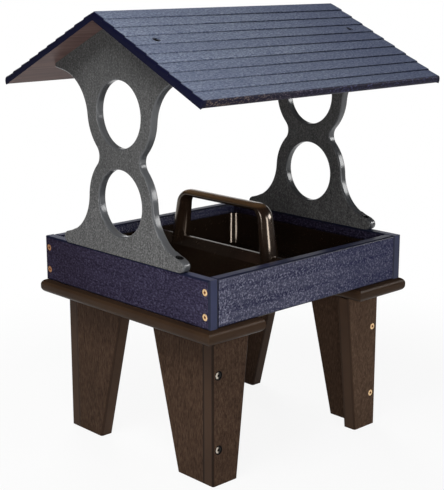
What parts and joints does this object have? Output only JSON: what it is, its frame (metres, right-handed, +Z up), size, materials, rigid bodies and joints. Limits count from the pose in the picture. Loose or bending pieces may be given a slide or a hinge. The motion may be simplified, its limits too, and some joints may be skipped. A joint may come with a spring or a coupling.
{
  "type": "fly-through bird feeder",
  "caption": "Free-standing fly-through bird feeder: lapped gable roof on figure-eight end boards, shallow box with a lift-out seed tray, tapered angle legs.",
  "frame": {"origin": "on the ground under the middle of the feeder", "axes": "+Z up, X along the ridge, -Y towards the front eave seen in the picture"},
  "size_m": [0.436, 0.3938, 0.5885],
  "materials": {
    "roof": "slate blue poly lumber, brushed",
    "gable": "grey poly board",
    "wall": "speckled dark blue poly lumber",
    "base": "brown poly lumber",
    "leg": "brown poly lumber",
    "tray": "near-black brown moulded plastic",
    "brass_screw": "coppery yellow plating",
    "dark_screw": "dark coated steel"
  },
  "bodies": {
    "stand": {"roof_panel_front": "roof", "roof_panel_rear": "roof", "gable_left": "gable", "gable_right": "gable", "end_wall_left": "wall", "end_wall_right": "wall", "side_wall_front": "wall", "side_wall_rear": "wall", "base_board_left": "base", "base_board_right": "base", "leg_side_front_left": "leg", "leg_side_front_right": "leg", "leg_side_rear_left": "leg", "leg_side_rear_right": "leg", "leg_end_front_left": "leg", "leg_end_front_right": "leg", "leg_end_rear_left": "leg", "leg_end_rear_right": "leg", "wall_screws": "brass_screw", "leg_screws": "brass_screw", "gable_screws": "brass_screw", "base_screws": "brass_screw", "hold_down_screws": "brass_screw", "roof_screws": "dark_screw"},
    "tray": {"feed_tray": "tray"}
  },
  "joints": [
    {"name": "tray_lift", "type": "slide", "parent": "stand", "child": "tray", "axis": [0, 0, 1], "range_m": [0, 0.08]}
  ]
}
